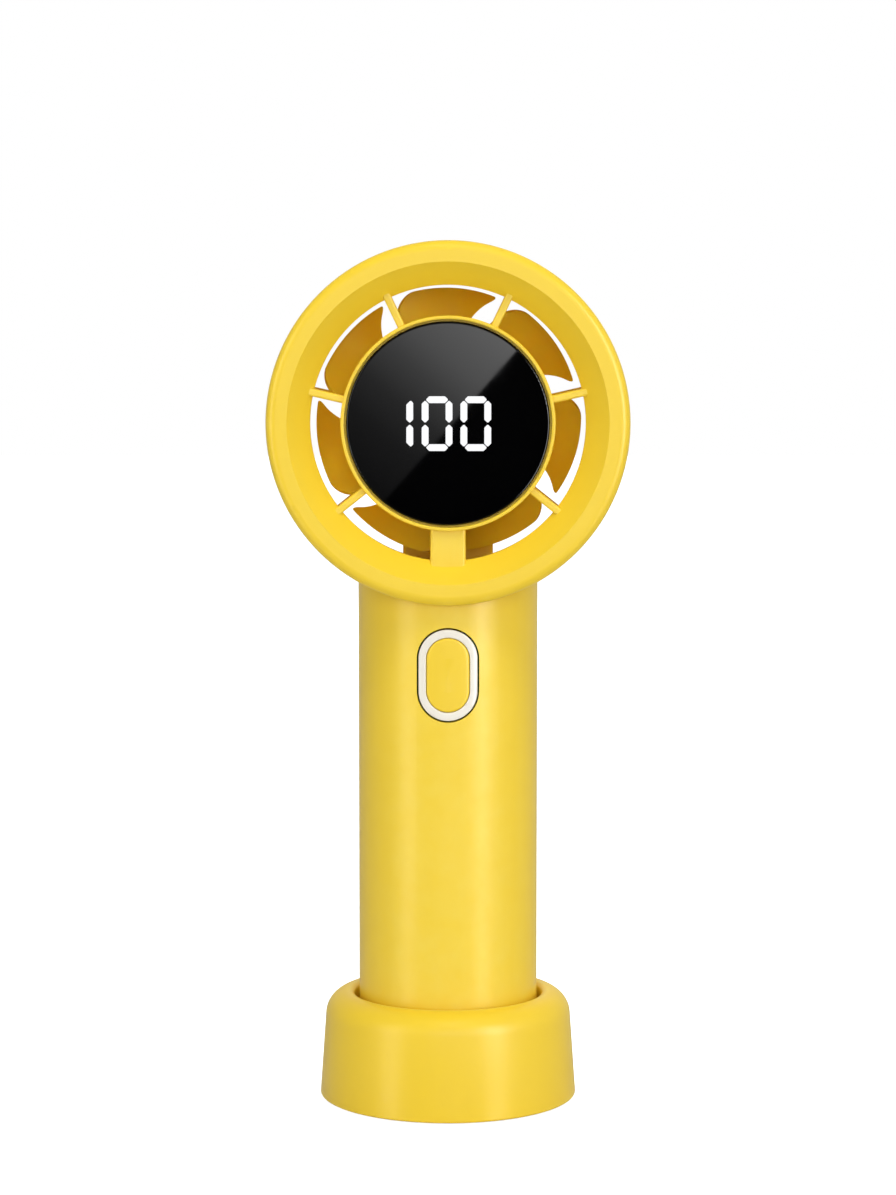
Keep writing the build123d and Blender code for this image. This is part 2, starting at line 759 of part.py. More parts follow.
with BuildPart() as shaft_clip:
    with BuildSketch(across(bulkhead_back)):
        Circle(2.9)
        Circle(shaft_radius, mode=Mode.SUBTRACT)
        with Locations((0, -2.4)):
            Rectangle(1.2, 2.4, mode=Mode.SUBTRACT)
    extrude(amount=0.4)
shaft_clip.part.label = "shaft_clip"
export_step(shaft_clip.part, "parts/shaft_clip.step")

# Three thin leads from the windings, through the bulkhead and strut, down to the main board.
with BuildPart() as motor_leads:
    for x in (-1.5, 0.0, 1.5):
        with BuildLine(Plane.YZ.offset(x)) as run:
            FilletPolyline(
                (-5.9, hub_height - 9.0),
                (-7.0, hub_height - 9.0),
                (-7.2, hub_height - 12.6),
                (-11.6, hub_height - 12.6),
                (-11.6, hub_height - 19.5),
                (-12.4, hub_height - 23.0),
                (-12.4, hub_height - 32.0),
                (-9.0, hub_height - 42.0),
                (-8.6, 103.0),
                (-11.4, 103.0),
                radius=0.9,
            )
        with BuildSketch(Plane(origin=run.line @ 0, z_dir=run.line % 0)):
            Circle(lead_radius)
        sweep(path=run.line)
motor_leads.part.label = "motor_leads"
export_step(motor_leads.part, "parts/motor_leads.step")

# ================================================================ impeller
impeller_front, impeller_back = 8.2, -9.0
impeller_hub = 23.2
blade_tip = 30.0


def polar(radius, angle):
    """Point in the head's plane seen from the front; the angle starts at the right-hand side."""
    return (radius * math.cos(math.radians(angle)), radius * math.sin(math.radians(angle)))


# Top blade seen from the front: a well rounded front corner and a pointed, hollow rear edge.
with BuildPart() as blade_outline:
    with BuildSketch(across(-12)) as planform:
        with BuildLine():
            Line(polar(22.5, 117.3), polar(blade_tip, 111.2))
            ThreePointArc(polar(blade_tip, 111.2), polar(blade_tip, 90.0), polar(blade_tip, 66.0))
            ThreePointArc(polar(blade_tip, 66.0), polar(26.9, 72.6), polar(22.5, 78.5))
            ThreePointArc(polar(22.5, 78.5), polar(22.5, 97.5), polar(22.5, 117.3))
        make_face()
        fillet(planform.vertices().group_by(Axis.X)[-1], 1.3)
        fillet(planform.vertices().filter_by_position(Axis.Y, 27.5, 28.3).sort_by(Axis.X)[0], 4.0)
    extrude(amount=24)


def blade_section(half_depth, thickness):
    """Cambered slab across a blade: x along the rotation, y towards the back."""
    reach, camber = 13.5, 1.3
    with BuildSketch() as section:
        with BuildLine():
            ThreePointArc(
                (-reach, -half_depth - thickness / 2),
                (0, camber - thickness / 2),
                (reach, half_depth - thickness / 2),
            )
            Line((reach, half_depth - thickness / 2), (reach, half_depth + thickness / 2))
            ThreePointArc(
                (reach, half_depth + thickness / 2),
                (0, camber + thickness / 2),
                (-reach, -half_depth + thickness / 2),
            )
            Line((-reach, -half_depth + thickness / 2), (-reach, -half_depth - thickness / 2))
        make_face()
    return section.sketch


with BuildPart() as blade:
    with BuildSketch(Plane.XY.offset(hub_height + 19)):
        add(blade_section(9.6, 1.5))
    with BuildSketch(Plane.XY.offset(hub_height + 34)):
        add(blade_section(7.2, 1.0))
    loft()
    add(blade_outline.part, mode=Mode.INTERSECT)

with BuildPart() as impeller:
    revolve(
        lathe_outline(
            (3.5, impeller_back),
            (impeller_hub - 1.6, impeller_back),
            (impeller_hub, impeller_back + 1.6),
            (impeller_hub, impeller_front),
            (impeller_hub - 1.2, impeller_front),
            (impeller_hub - 1.2, bell_back),
            (bell_radius + 1.3, bell_back),
            (bell_radius + 1.3, 3.0),
            (bell_radius, 3.0),
            (bell_radius, bell_back),
            (3.5, bell_back),
        ),
        axis=fan_axis,
    )
    for place in range(blade_count):
        add(blade.part.rotate(fan_axis, place * 360 / blade_count))
impeller.part.label = "impeller"
export_step(impeller.part, "parts/impeller.step")

# ================================================================ power button
bezel_back = 16.6
switch_body_front = 14.4

with BuildPart() as button_bezel:
    with BuildSketch(facing(button_height, bezel_back)):
        SlotOverall(bezel_hole_tall, bezel_hole_width, rotation=90)
    extrude(amount=1.4)
    with BuildSketch(facing(button_height, bezel_back)):
        SlotOverall(bezel_tall, bezel_width, rotation=90)
    extrude(amount=6.0)
    with BuildSketch(facing(button_height, bezel_back - cut)):
        SlotOverall(cap_tall + 2 * button_gap, cap_width + 2 * button_gap, rotation=90)
    extrude(amount=8.0, mode=Mode.SUBTRACT)
    with BuildSketch(Plane.XY.offset(button_height - bezel_tall)):
        Circle(handle_radius + 0.15)
    extrude(amount=2 * bezel_tall, mode=Mode.INTERSECT)
button_bezel.part.label = "button_bezel"
export_step(button_bezel.part, "parts/button_bezel.step")

with BuildPart() as button_cap:
    with BuildSketch(facing(button_height, bezel_back - 0.15)):
        SlotOverall(cap_tall, cap_width, rotation=90)
    extrude(amount=6.0)
    with BuildSketch(Plane.XY.offset(button_height - bezel_tall)):
        Circle(handle_radius + 0.25)
    extrude(amount=2 * bezel_tall, mode=Mode.INTERSECT)
    with BuildSketch(facing(button_height, bezel_back - 0.15)):
        SlotOverall(cap_tall + 1.9, cap_width + 1.9, rotation=90)
    extrude(amount=-0.8)
button_cap.part.label = "button_cap"
export_step(button_cap.part, "parts/button_cap.step")

with BuildPart() as tact_switch:
    with BuildSketch(facing(button_height, board_front)):
        Rectangle(6.0, 6.0)
    extrude(amount=switch_body_front - board_front)
    with BuildSketch(facing(button_height, switch_body_front)):
        Circle(1.6)
    extrude(amount=-1.3, mode=Mode.SUBTRACT)
tact_switch.part.label = "tact_switch"
export_step(tact_switch.part, "parts/tact_switch.step")

with BuildPart() as switch_plunger:
    with BuildSketch(facing(button_height, switch_body_front - 0.6)):
        Circle(1.5)
    extrude(amount=bezel_back - 0.95 - switch_body_front + 0.6)
switch_plunger.part.label = "switch_plunger"
export_step(switch_plunger.part, "parts/switch_plunger.step")

# ================================================================ electronics in the handle
board_width, board_low, board_high = 22.0, 60.0, 106.0
board_back = board_front - board_thickness

with BuildPart() as main_board:
    with BuildSketch(facing(0, board_back)):
        with Locations((0, (board_low + board_high) / 2)):
            RectangleRounded(board_width, board_high - board_low, 1.0)
        for x, z in post_places:
            with Locations((x, z)):
                Circle(0.9, mode=Mode.SUBTRACT)
    extrude(amount=board_thickness)
main_board.part.label = "main_board"
export_step(main_board.part, "parts/main_board.step")

with BuildPart() as board_screws:
    for x, z in post_places:
        with BuildSketch(facing(0, board_back)):
            with Locations((x, z)):
                Circle(1.5)
        extrude(amount=-0.9)
        with BuildSketch(facing(0, board_back)):
            with Locations((x, z)):
                Circle(0.77)
        extrude(amount=3.6)
board_screws.part.label = "board_screws"
export_step(board_screws.part, "parts/board_screws.step")

# Controller, inductor and driver chips: x, height, width, tall, thickness off the board.
chips = (
    (-3.0, 82.0, 7.0, 7.0, 1.0),
    (5.6, 83.0, 4.0, 4.0, 2.4),
    (4.6, 74.0, 5.0, 4.0, 1.1),
    (-4.6, 72.5, 3.2, 3.2, 0.9),
)
with BuildPart() as board_chips:
    for x, z, width, tall, thick in chips:
        with BuildSketch(facing(0, board_front)):
            with Locations((x, z)):
                Rectangle(width, tall)
        extrude(amount=thick)
board_chips.part.label = "board_chips"
export_step(board_chips.part, "parts/board_chips.step")

cell_radius, cell_length = 10.6, 70.2
cell_back, cell_low = 4.6, 35.6

with BuildPart(Plane(origin=(0, cell_back, cell_low))) as battery_cell:
    Cylinder(cell_radius, cell_length, align=low)
    fillet(battery_cell.edges().filter_by(GeomType.CIRCLE), 0.8)
    with Locations((0, 0, cell_length)):
        Cylinder(4.2, 0.5, align=low)
battery_cell.part.label = "battery_cell"
export_step(battery_cell.part, "parts/battery_cell.step")

with BuildPart(Plane(origin=(0, cell_back, cell_low + 4.0))) as battery_cradle:
    for low_edge in (0.0, 26.0, 52.0):
        with Locations((0, 0, low_edge)):
            Cylinder(cell_radius + 1.5, 9.0, align=low)
            Cylinder(cell_radius, 9.0, align=low, mode=Mode.SUBTRACT)
    with Locations((0, -cell_radius - 4.0, 0)):
        Box(30.0, 18.0, 70.0, align=low, mode=Mode.SUBTRACT)
    with Locations((0, cell_radius + 0.85, 0)):
        Box(8.0, 1.3, 61.0, align=low)
battery_cradle.part.label = "battery_cradle"
export_step(battery_cradle.part, "parts/battery_cradle.step")

with BuildPart() as battery_tabs:
    with BuildSketch(Plane.YZ.offset(-2.0)):
        with BuildLine():
            FilletPolyline(
                (cell_back + 3.0, cell_low + cell_length + 0.65),
                (-8.0, cell_low + cell_length + 0.65),
                (-8.0, 96.0),
                (-11.4, 96.0),
                radius=0.5,
            )
        trace(line_width=0.3)
    extrude(amount=4.0)
    with BuildSketch(Plane.YZ.offset(-2.0)):
        with BuildLine():
            FilletPolyline(
                (cell_back + 3.0, cell_low - 0.15),
                (-8.0, cell_low - 0.15),
                (-8.0, 66.0),
                (-11.4, 66.0),
                radius=0.5,
            )
        trace(line_width=0.3)
    extrude(amount=4.0)
battery_tabs.part.label = "battery_tabs"
export_step(battery_tabs.part, "parts/battery_tabs.step")

# ================================================================ charging socket
port_width, port_tall, port_wall = 8.94, 3.26, 0.3
port_front, port_back = 12.5, 19.6

with BuildPart() as usb_port:
    with BuildSketch(facing(port_height, -port_front)):
        SlotOverall(port_width, port_tall)
    extrude(amount=port_front - port_back)
    with BuildSketch(facing(port_height, -port_front - 1.2)):
        SlotOverall(port_width - 2 * port_wall, port_tall - 2 * port_wall)
    extrude(amount=port_front - port_back, mode=Mode.SUBTRACT)
usb_port.part.label = "usb_port"
export_step(usb_port.part, "parts/usb_port.step")

with BuildPart() as usb_tongue:
    with BuildSketch(facing(port_height, -port_front - 1.2)):
        Rectangle(6.7, 0.7)
    extrude(amount=-5.2)
usb_tongue.part.label = "usb_tongue"
export_step(usb_tongue.part, "parts/usb_tongue.step")

with BuildPart() as charge_board:
    with BuildSketch(facing(port_height, -port_front)):
        Rectangle(18.0, 9.0)
    extrude(amount=1.2)
charge_board.part.label = "charge_board"
export_step(charge_board.part, "parts/charge_board.step")
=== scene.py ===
import bpy
import bmesh
import math
from mathutils import Matrix, Vector


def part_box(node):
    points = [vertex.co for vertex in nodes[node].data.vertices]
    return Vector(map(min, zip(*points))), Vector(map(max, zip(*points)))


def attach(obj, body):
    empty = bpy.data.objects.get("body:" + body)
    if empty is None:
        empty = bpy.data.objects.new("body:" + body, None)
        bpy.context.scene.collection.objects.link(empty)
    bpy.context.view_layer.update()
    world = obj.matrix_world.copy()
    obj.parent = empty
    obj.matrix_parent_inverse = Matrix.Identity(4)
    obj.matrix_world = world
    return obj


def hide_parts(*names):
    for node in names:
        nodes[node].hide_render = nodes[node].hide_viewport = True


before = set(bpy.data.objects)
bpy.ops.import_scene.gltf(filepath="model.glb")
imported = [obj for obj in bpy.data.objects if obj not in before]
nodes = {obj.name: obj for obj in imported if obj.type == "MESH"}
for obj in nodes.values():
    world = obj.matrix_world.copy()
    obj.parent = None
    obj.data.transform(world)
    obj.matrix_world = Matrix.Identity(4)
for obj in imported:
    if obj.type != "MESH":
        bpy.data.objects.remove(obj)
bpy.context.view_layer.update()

# ============================================================ base cup
# The cup that the handle stands in is one injection moulding in yellow ABS with a fine satin
# finish. Every shell of the fan has that finish, so its shader groups are made here.
mm = 0.001


def start_group(name, inputs, outputs):
    """An empty shader group with named sockets, and its two ends."""
    group = bpy.data.node_groups.new(name, "ShaderNodeTree")
    for label, kind, value in inputs:
        group.interface.new_socket(name=label, in_out="INPUT", socket_type=kind).default_value = value
    for label, kind in outputs:
        group.interface.new_socket(name=label, in_out="OUTPUT", socket_type=kind)
    return group, group.nodes.new("NodeGroupInput"), group.nodes.new("NodeGroupOutput")


def add_node(tree, kind, **settings):
    """A node with its properties set by name, and its sockets by their label."""
    node = tree.nodes.new(kind)
    for key, value in settings.items():
        if hasattr(node, key):
            setattr(node, key, value)
        else:
            node.inputs[key.replace("_", " ")].default_value = value
    return node


# Spark-eroded mould finish: a fine pebble, the slow change of gloss that hands leave, and clouds.
spark_finish, ends, out = start_group(
    "spark_finish",
    [("Position", "NodeSocketVector", (0, 0, 0)), ("Grain Size", "NodeSocketFloat", 4200.0),
     ("Gloss Low", "NodeSocketFloat", 0.38), ("Gloss High", "NodeSocketFloat", 0.5)],
    [("Height", "NodeSocketFloat"), ("Roughness", "NodeSocketFloat"), ("Shade", "NodeSocketFloat")],
)
link = spark_finish.links.new
pebble = add_node(spark_finish, "ShaderNodeTexNoise", Detail=3.0, Roughness=0.6)
link(ends.outputs["Position"], pebble.inputs["Vector"])
link(ends.outputs["Grain Size"], pebble.inputs["Scale"])
smudge = add_node(spark_finish, "ShaderNodeTexNoise", Scale=60.0, Detail=5.0, Roughness=0.6, Distortion=0.4)
link(ends.outputs["Position"], smudge.inputs["Vector"])
gloss = add_node(spark_finish, "ShaderNodeMapRange", From_Min=0.3, From_Max=0.7)
link(smudge.outputs["Fac"], gloss.inputs["Value"])
link(ends.outputs["Gloss Low"], gloss.inputs["To Min"])
link(ends.outputs["Gloss High"], gloss.inputs["To Max"])
cloud = add_node(spark_finish, "ShaderNodeTexNoise", Scale=22.0, Detail=2.0)
link(ends.outputs["Position"], cloud.inputs["Vector"])
link(pebble.outputs["Fac"], out.inputs["Height"])
link(gloss.outputs["Result"], out.inputs["Roughness"])
link(cloud.outputs["Fac"], out.inputs["Shade"])

# Rubbed edges and painted shade: a paler, broken line where corners are handled, and colour darkened in the
# hollows as painted shade.
rubbed_edge_and_hollow_shade, ends, out = start_group(
    "rubbed_edge_and_hollow_shade",
    [("Position", "NodeSocketVector", (0, 0, 0)), ("Wear", "NodeSocketFloat", 0.5),
     ("Hollow Shade", "NodeSocketFloat", 0.3)],
    [("Edge", "NodeSocketFloat"), ("Hollow", "NodeSocketFloat")],
)
link = rubbed_edge_and_hollow_shade.links.new
corner = add_node(rubbed_edge_and_hollow_shade, "ShaderNodeNewGeometry")
patchy = add_node(rubbed_edge_and_hollow_shade, "ShaderNodeTexNoise", Scale=240.0, Detail=3.0)
link(ends.outputs["Position"], patchy.inputs["Vector"])
# Edge is pale wear on convex corners; Hollow is painted shade, a darkening of concave places.
for amount, low, high, label in (("Wear", 0.52, 0.62, "Edge"), ("Hollow Shade", 0.48, 0.38, "Hollow")):
    sharp = add_node(rubbed_edge_and_hollow_shade, "ShaderNodeMapRange", From_Min=low, From_Max=high)
    link(corner.outputs["Pointiness"], sharp.inputs["Value"])
    broken = add_node(rubbed_edge_and_hollow_shade, "ShaderNodeMath", operation="MULTIPLY")
    link(sharp.outputs["Result"], broken.inputs[0])
    link(patchy.outputs["Fac"], broken.inputs[1])
    mask = add_node(rubbed_edge_and_hollow_shade, "ShaderNodeMath", operation="MULTIPLY", use_clamp=True)
    link(broken.outputs["Value"], mask.inputs[0])
    link(ends.outputs[amount], mask.inputs[1])
    link(mask.outputs["Value"], out.inputs[label])


def moulded(
    name, colour, shade, edge, hollow_shade, gloss=(0.3, 0.4), grain=4200.0, relief=0.12, wear=0.5, hollow_shade_amount=0.4,
):
    """Moulded plastic: two close shades in clouds, paler worn edges, hollows darkened as painted shade, and
    a spark finish.
    """
    material = bpy.data.materials.new(name)
    material.use_nodes = True
    tree = material.node_tree
    shader = tree.nodes["Principled BSDF"]
    place = add_node(tree, "ShaderNodeTexCoord")
    finish = add_node(tree, "ShaderNodeGroup", node_tree=spark_finish)
    finish.inputs["Grain Size"].default_value = grain
    finish.inputs["Gloss Low"].default_value = gloss[0]
    finish.inputs["Gloss High"].default_value = gloss[1]
    tree.links.new(place.outputs["Object"], finish.inputs["Position"])
    wear_and_shade = add_node(tree, "ShaderNodeGroup", node_tree=rubbed_edge_and_hollow_shade)
    wear_and_shade.inputs["Wear"].default_value = wear
    wear_and_shade.inputs["Hollow Shade"].default_value = hollow_shade_amount
    tree.links.new(place.outputs["Object"], wear_and_shade.inputs["Position"])
    last = None
    # Over the base colour: the second shade in clouds, then painted shade in the hollows, then the paler
    # worn edges.
    for factor, top in (
        (finish.outputs["Shade"], shade),
        (wear_and_shade.outputs["Hollow"], hollow_shade),
        (wear_and_shade.outputs["Edge"], edge),
    ):
        blend = add_node(tree, "ShaderNodeMix", data_type="RGBA")
        blend.inputs["B"].default_value = (*top, 1)
        tree.links.new(factor, blend.inputs["Factor"])
        if last:
            tree.links.new(last.outputs["Result"], blend.inputs["A"])
        else:
            blend.inputs["A"].default_value = (*colour, 1)
        last = blend
    tree.links.new(last.outputs["Result"], shader.inputs["Base Color"])
    tree.links.new(finish.outputs["Roughness"], shader.inputs["Roughness"])
    bump = add_node(tree, "ShaderNodeBump", Strength=relief, Distance=0.00008)
    tree.links.new(finish.outputs["Height"], bump.inputs["Height"])
    tree.links.new(bump.outputs["Normal"], shader.inputs["Normal"])
    return material


def turned(profile, axis, centre=(0, 0, 0), steps=192):
    """Closed outline turned once round an axis."""
    form = bmesh.new()
    ring = [form.verts.new(point) for point in profile]
    rim = [form.edges.new(pair) for pair in zip(ring, ring[1:] + ring[:1])]
    bmesh.ops.spin(
        form, geom=ring + rim, cent=centre, axis=axis, angle=math.tau, steps=steps, use_merge=True,
    )
    bmesh.ops.remove_doubles(form, verts=form.verts, dist=0.000001)
    bmesh.ops.recalc_face_normals(form, faces=form.faces)
    return form


def round_over(form, edges, width, segments=4):
    """Rounds edges to a radius."""
    bmesh.ops.bevel(
        form, geom=edges, offset=width, offset_type="OFFSET", affect="EDGES", segments=segments,
        profile=0.5, material=-1, clamp_overlap=True,
    )


def finish_piece(form, name, material, body, slot, *stood_for, smooth=35):
    """Makes the shape an object on its body, shaded smooth except over sharp corners."""
    mesh = bpy.data.meshes.new(name)
    form.to_mesh(mesh)
    form.free()
    mesh.shade_smooth()
    mesh.set_sharp_from_angle(angle=math.radians(smooth))
    piece = bpy.data.objects.new(name, mesh)
    bpy.context.scene.collection.objects.link(piece)
    mesh.materials.append(material)
    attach(piece, body)
    if stood_for:
        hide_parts(*stood_for)
    return piece


def dress(material, *names):
    """Gives CAD nodes a material in place of their own."""
    for name in names:
        for socket in nodes[name].material_slots:
            socket.material = material


# The last colour, a deep orange, is painted shade for the hollows.
shell_yellow = moulded(
    "shell_yellow", (0.93, 0.65, 0.031), (0.91, 0.63, 0.027), (0.96, 0.75, 0.11), (0.62, 0.36, 0.02),
)
cup_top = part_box("base_shell")[1].z
cup_outline = (
    (21.4, 5.0), (0.02, 5.0), (0.02, 3.5), (23.0, 3.5), (23.0, 19.4), (25.3, 18.0), (27.3, 2.5),
    (27.3, 0.25), (29.35, 0.25), (27.65, 24.2), (21.4, 24.2),
)
cup = turned([(r * mm, 0, z * mm) for r, z in cup_outline], (0, 0, 1), steps=224)


def edges_where(form, holds):
    """Edges with both ends where a test holds."""
    return [e for e in form.edges if all(holds(v) for v in e.verts)]


def on_cup_top(vert):
    """Whether a point lies in the cup's upper face."""
    return abs(vert.co.z - cup_top) < 1e-5


shoulder = edges_where(cup, lambda v: on_cup_top(v) and v.co.xy.length > 0.026)
round_over(cup, shoulder, 5.0 * mm, 14)
mouth = edges_where(cup, lambda v: on_cup_top(v) and v.co.xy.length < 0.0215)
round_over(cup, mouth, 1.4 * mm, 8)
foot = edges_where(cup, lambda v: v.co.z < 0.0003 and v.co.xy.length > 0.029)
round_over(cup, foot, 0.6 * mm, 5)
finish_piece(cup, "base_cup", shell_yellow, "base", "yellow_shell", "base_shell")

# ============================================================ underside of the base
# A pressed-in plate of the same yellow closes the cup over its steel weights. Three screws hold
# it, and a ring of soft black rubber with fine grooves keeps the fan from sliding.
dress(shell_yellow, "base_plate")


def rubber(name, grooves):
    """Black rubber with moulded grooves round the vertical axis, dulled by dust."""
    material = moulded(
        name, (0.022, 0.022, 0.023), (0.03, 0.03, 0.031), (0.06, 0.06, 0.06), (0.01, 0.01, 0.01),
        gloss=(0.62, 0.78), grain=2600.0, relief=0.3,
    )
    tree = material.node_tree
    place = tree.nodes["Texture Coordinate"]
    rings = add_node(tree, "ShaderNodeTexWave", wave_type="RINGS", rings_direction="Z", Scale=grooves)
    tree.links.new(place.outputs["Object"], rings.inputs["Vector"])
    bump = add_node(tree, "ShaderNodeBump", Strength=0.6, Distance=0.0003)
    tree.links.new(rings.outputs["Fac"], bump.inputs["Height"])
    tree.links.new(tree.nodes["Bump"].outputs["Normal"], bump.inputs["Normal"])
    tree.links.new(bump.outputs["Normal"], tree.nodes["Principled BSDF"].inputs["Normal"])
    return material


dress(rubber("foot_rubber", 300.0), "foot_ring")
dress(rubber("pad_rubber", 120.0), "socket_pad")

# Drawn and machined metals: fine lines one way, a slow change of gloss, and patches of a duller tarnish.
worked_metal, ends, out = start_group(
    "worked_metal",
    [("Position", "NodeSocketVector", (0, 0, 0)), ("Line Scale", "NodeSocketVector", (900, 900, 60)),
     ("Gloss Low", "NodeSocketFloat", 0.25), ("Gloss High", "NodeSocketFloat", 0.45)],
    [("Height", "NodeSocketFloat"), ("Roughness", "NodeSocketFloat"), ("Tarnish", "NodeSocketFloat")],
)
link = worked_metal.links.new
stretch = add_node(worked_metal, "ShaderNodeVectorMath", operation="MULTIPLY")
link(ends.outputs["Position"], stretch.inputs[0])
link(ends.outputs["Line Scale"], stretch.inputs[1])
lines = add_node(worked_metal, "ShaderNodeTexNoise", Scale=1.0, Detail=4.0, Roughness=0.7)
link(stretch.outputs["Vector"], lines.inputs["Vector"])
gloss = add_node(worked_metal, "ShaderNodeMapRange", From_Min=0.3, From_Max=0.7)
link(lines.outputs["Fac"], gloss.inputs["Value"])
link(ends.outputs["Gloss Low"], gloss.inputs["To Min"])
link(ends.outputs["Gloss High"], gloss.inputs["To Max"])
tarnish = add_node(worked_metal, "ShaderNodeTexNoise", Scale=350.0, Detail=3.0)
link(ends.outputs["Position"], tarnish.inputs["Vector"])
link(lines.outputs["Fac"], out.inputs["Height"])
link(gloss.outputs["Result"], out.inputs["Roughness"])
link(tarnish.outputs["Fac"], out.inputs["Tarnish"])


def metal(name, colour, dull, lines=(900, 900, 60), gloss=(0.25, 0.45), relief=0.08):
    """Metal with worked lines and patches of a duller shade."""
    material = bpy.data.materials.new(name)
    material.use_nodes = True
    tree = material.node_tree
    shader = tree.nodes["Principled BSDF"]
    shader.inputs["Metallic"].default_value = 1.0
    place = add_node(tree, "ShaderNodeTexCoord")
    work = add_node(tree, "ShaderNodeGroup", node_tree=worked_metal)
    work.inputs["Line Scale"].default_value = lines
    work.inputs["Gloss Low"].default_value = gloss[0]
    work.inputs["Gloss High"].default_value = gloss[1]
    tree.links.new(place.outputs["Object"], work.inputs["Position"])
    patches = add_node(tree, "ShaderNodeMix", data_type="RGBA")
    patches.inputs["A"].default_value = (*colour, 1)
    patches.inputs["B"].default_value = (*dull, 1)
    tree.links.new(work.outputs["Tarnish"], patches.inputs["Factor"])
    tree.links.new(patches.outputs["Result"], shader.inputs["Base Color"])
    tree.links.new(work.outputs["Roughness"], shader.inputs["Roughness"])
    bump = add_node(tree, "ShaderNodeBump", Strength=relief, Distance=0.00005)
    tree.links.new(work.outputs["Height"], bump.inputs["Height"])
    tree.links.new(bump.outputs["Normal"], shader.inputs["Normal"])
    return material


zinc = metal("zinc_plate", (0.62, 0.63, 0.65), (0.42, 0.43, 0.46), gloss=(0.22, 0.4))
weight_steel = metal(
    "weight_steel", (0.4, 0.4, 0.41), (0.25, 0.23, 0.22), lines=(120, 120, 900), gloss=(0.35, 0.6),
)
dress(weight_steel, "base_weights")


def screws(name, places, outward, head_radius, head_height, shank_radius, shank_length, body, node):
    """Pan-head screws with a cross recess. Each place is the middle of a head's outer face."""
    one = bmesh.new()
    bmesh.ops.create_circle(one, cap_ends=False, radius=head_radius, segments=32)
    rim = one.edges[:]
    arm, half = head_radius * 0.62, head_radius * 0.17
    corners = [
        (arm, -half), (arm, half), (half, half), (half, arm), (-half, arm), (-half, half),
        (-arm, half), (-arm, -half), (-half, -half), (-half, -arm), (half, -arm), (half, -half),
    ]
    cross = [one.verts.new((x, y, 0)) for x, y in corners]
    recess = [one.edges.new(pair) for pair in zip(cross, cross[1:] + cross[:1])]
    bmesh.ops.triangle_fill(one, edges=rim + recess, use_beauty=True)
    recessed = [f for f in one.faces if all(v in cross for v in f.verts)]
    inside = [f for f in recessed if f.calc_center_median().length < arm]
    bmesh.ops.delete(one, geom=inside, context="FACES_ONLY")
    wall = bmesh.ops.extrude_edge_only(one, edges=recess)
    sunk = [g for g in wall["geom"] if isinstance(g, bmesh.types.BMVert)]
    bmesh.ops.translate(one, verts=sunk, vec=(0, 0, -head_height * 0.6))
    bmesh.ops.scale(one, verts=sunk, vec=(0.75, 0.75, 1))
    bmesh.ops.contextual_create(one, geom=[e for e in wall["geom"] if isinstance(e, bmesh.types.BMEdge)])
    side = bmesh.ops.extrude_edge_only(one, edges=rim)
    lower = [g for g in side["geom"] if isinstance(g, bmesh.types.BMVert)]
    bmesh.ops.translate(one, verts=lower, vec=(0, 0, -head_height))
    head_back = [g for g in side["geom"] if isinstance(g, bmesh.types.BMEdge)]
    step = bmesh.ops.extrude_edge_only(one, edges=head_back)
    neck = [g for g in step["geom"] if isinstance(g, bmesh.types.BMVert)]
    bmesh.ops.scale(one, verts=neck, vec=(shank_radius / head_radius, shank_radius / head_radius, 1))
    neck_rim = [g for g in step["geom"] if isinstance(g, bmesh.types.BMEdge)]
    shank = bmesh.ops.extrude_edge_only(one, edges=neck_rim)
    tip = [g for g in shank["geom"] if isinstance(g, bmesh.types.BMVert)]
    bmesh.ops.translate(one, verts=tip, vec=(0, 0, -shank_length))
    bmesh.ops.contextual_create(one, geom=[g for g in shank["geom"] if isinstance(g, bmesh.types.BMEdge)])
    round_over(one, rim, head_radius * 0.16, 3)
    bmesh.ops.recalc_face_normals(one, faces=one.faces)
    turn = Vector(outward).to_track_quat("Z", "Y").to_matrix().to_4x4()
    pattern = bpy.data.meshes.new(name)
    one.to_mesh(pattern)
    one.free()
    every = bmesh.new()
    for index, place in enumerate(places):
        before = len(every.verts)
        every.from_mesh(pattern)
        every.verts.ensure_lookup_table()
        spot = Matrix.Translation(place) @ turn @ Matrix.Rotation(0.6 + 1.1 * index, 4, "Z")
        bmesh.ops.transform(every, matrix=spot, verts=every.verts[before:])
    bpy.data.meshes.remove(pattern)
    return finish_piece(every, name, zinc, body, "steel", node)


plate_circle, plate_face = 24.8 * mm, 0.12 * mm
plate_angles = [math.radians(a) for a in (30, 150, 270)]
plate_spots = [(plate_circle * math.cos(a), plate_circle * math.sin(a), plate_face) for a in plate_angles]
screws(
    "plate_screws", plate_spots, (0, 0, -1), 1.9 * mm, 0.88 * mm, 0.97 * mm, 7.4 * mm, "base", "base_screws",
)

# ============================================================ handle and head housing
# Two deep half shells of yellow ABS meet in a fine groove down each side. Three long screws pull
# the rear half on, and a cap plugs the foot of the handle.
dress(shell_yellow, "front_housing", "rear_housing", "end_cap")
seam_screws = ((0.0, 16.0, 16.9), (-12.5, 110.5, 13.7), (12.5, 110.5, 13.7))
screws("seam_screws", [(x * mm, y * mm, z * mm) for x, z, y in seam_screws], (0, 1, 0),
       1.95 * mm, 1.3 * mm, 0.97 * mm, 25.0 * mm, "fan_body", "handle_screws")

# ============================================================ power button
# A yellow cap sits in an oval collar of pearl-silver lacquered plastic. The collar has a soft
# pillow section and stands in the handle with a thin dark gap all round.
button = (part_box("button_bezel")[0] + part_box("button_bezel")[1]) / 2
collar_wide, collar_tall = 13.26 * mm, 20.5 * mm
opening_wide, opening_tall = 9.76 * mm, 16.66 * mm
grip_radius = 20.35 * mm


